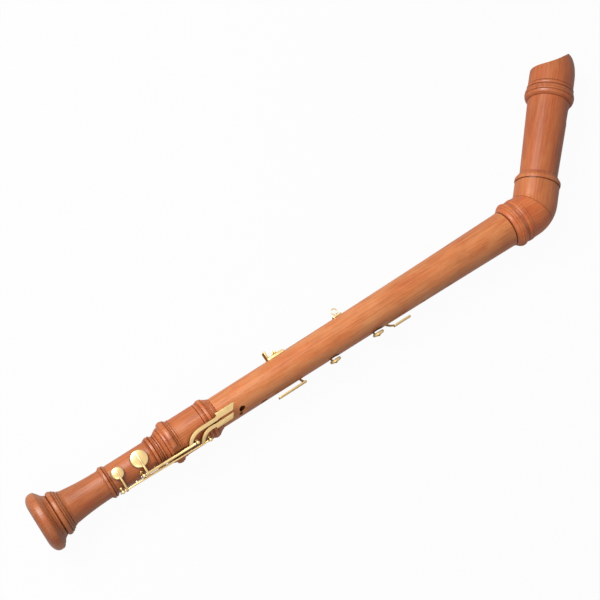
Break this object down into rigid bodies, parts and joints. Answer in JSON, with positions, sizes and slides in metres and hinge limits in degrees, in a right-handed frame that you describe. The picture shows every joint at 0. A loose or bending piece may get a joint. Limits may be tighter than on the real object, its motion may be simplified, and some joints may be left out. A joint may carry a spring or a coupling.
{
  "type": "bass recorder",
  "caption": "Bent-head bass recorder in fruitwood with turned rings, brass keys on posts, a sliding thumb rest, a strap ring and a direct-blown beak.",
  "frame": {"origin": "middle of the bounding box's base, with the instrument lying on its left side", "axes": "+X runs up the body from the bell, +Y is the back (thumb) side towards which the head bends, +Z is the player's right hand side"},
  "size_m": [0.921, 0.2026, 0.075],
  "materials": {
    "pearwood": "oiled and polished fruitwood",
    "cedar": "plain cedar",
    "brass": "polished brass",
    "steel": "blued and drawn steel",
    "cork": "waxed sheet cork",
    "leather": "soft pad leather"
  },
  "bodies": {
    "middle": {"middle_joint": "pearwood", "foot_tenon_cork": "cork", "elbow_tenon_cork": "cork", "hole_4_lower_post": "brass", "hole_4_upper_post": "brass", "hole_4_hinge_rod": "steel", "hole_4_spring": "steel", "hole_3_lower_post": "brass", "hole_3_upper_post": "brass", "hole_3_hinge_rod": "steel", "hole_3_spring": "steel", "thumb_rest_base": "brass", "thumb_base_screw_1": "brass", "thumb_base_screw_2": "brass", "strap_ring": "brass", "strap_plate_screw_1": "brass", "strap_plate_screw_2": "brass"},
    "foot": {"foot_joint": "pearwood", "low_f_lower_post": "brass", "low_f_upper_post": "brass", "low_f_hinge_rod": "steel", "low_f_spring": "steel", "low_f_sharp_lower_post": "brass", "low_f_sharp_upper_post": "brass", "low_f_sharp_hinge_rod": "steel", "low_f_sharp_spring": "steel"},
    "elbow": {"elbow_lower": "pearwood", "elbow_upper": "pearwood"},
    "head": {"head_joint": "pearwood", "block": "cedar", "head_tenon_cork": "cork"},
    "thumb_rest": {"thumb_rest_slide": "brass"},
    "thumb_screw": {"thumb_clamp_screw": "brass"},
    "low_f_key_body": {"low_f_key": "brass", "low_f_pad": "leather", "low_f_bumper": "cork"},
    "low_f_sharp_key_body": {"low_f_sharp_key": "brass", "low_f_sharp_pad": "leather", "low_f_sharp_bumper": "cork"},
    "hole_4_key_body": {"hole_4_key": "brass", "hole_4_pad": "leather", "hole_4_bumper": "cork"},
    "hole_3_key_body": {"hole_3_key": "brass", "hole_3_pad": "leather", "hole_3_bumper": "cork"}
  },
  "joints": [
    {"name": "foot_turn", "type": "hinge", "parent": "middle", "child": "foot", "pos_m": [-0.21554, -0.06384, 0.0375], "axis": [1, 0, 0], "range_deg": [-15, 15]},
    {"name": "elbow_turn", "type": "hinge", "parent": "middle", "child": "elbow", "pos_m": [0.23726, -0.06384, 0.0375], "axis": [1, 0, 0], "range_deg": [-15, 15]},
    {"name": "head_pull", "type": "slide", "parent": "elbow", "child": "head", "axis": [0.7009, 0.7133, 0], "range_m": [0, 0.01]},
    {"name": "thumb_rest_slide_joint", "type": "slide", "parent": "middle", "child": "thumb_rest", "axis": [1, 0, 0], "range_m": [-0.004, 0.004]},
    {"name": "thumb_screw_turn", "type": "hinge", "parent": "middle", "child": "thumb_screw", "pos_m": [-0.11284, -0.04348, 0.0375], "axis": [0, 1, 0], "range_deg": [0, 360]},
    {"name": "low_f_key_hinge", "type": "hinge", "parent": "foot", "child": "low_f_key_body", "pos_m": [-0.32824, -0.08238, 0.05515], "axis": [0.9998, -0.0146, 0.0139], "range_deg": [-8, 0], "stiffness_Nm_per_rad": 0.03, "springref_deg": 8.59},
    {"name": "low_f_sharp_key_hinge", "type": "hinge", "parent": "foot", "child": "low_f_sharp_key_body", "pos_m": [-0.35824, -0.08451, 0.04826], "axis": [0.9994, -0.0304, 0.0158], "range_deg": [-7.5, 0], "stiffness_Nm_per_rad": 0.03, "springref_deg": 8.59},
    {"name": "hole_4_key_hinge", "type": "hinge", "parent": "middle", "child": "hole_4_key_body", "pos_m": [-0.10824, -0.07965, 0.01866], "axis": [1, -0.0039, -0.0046], "range_deg": [-8, 0], "stiffness_Nm_per_rad": 0.03, "springref_deg": 8.59},
    {"name": "hole_3_key_hinge", "type": "hinge", "parent": "middle", "child": "hole_3_key_body", "pos_m": [0.00376, -0.08017, 0.01804], "axis": [1, -0.006, -0.0071], "range_deg": [-8, 0], "stiffness_Nm_per_rad": 0.03, "springref_deg": 8.59}
  ]
}
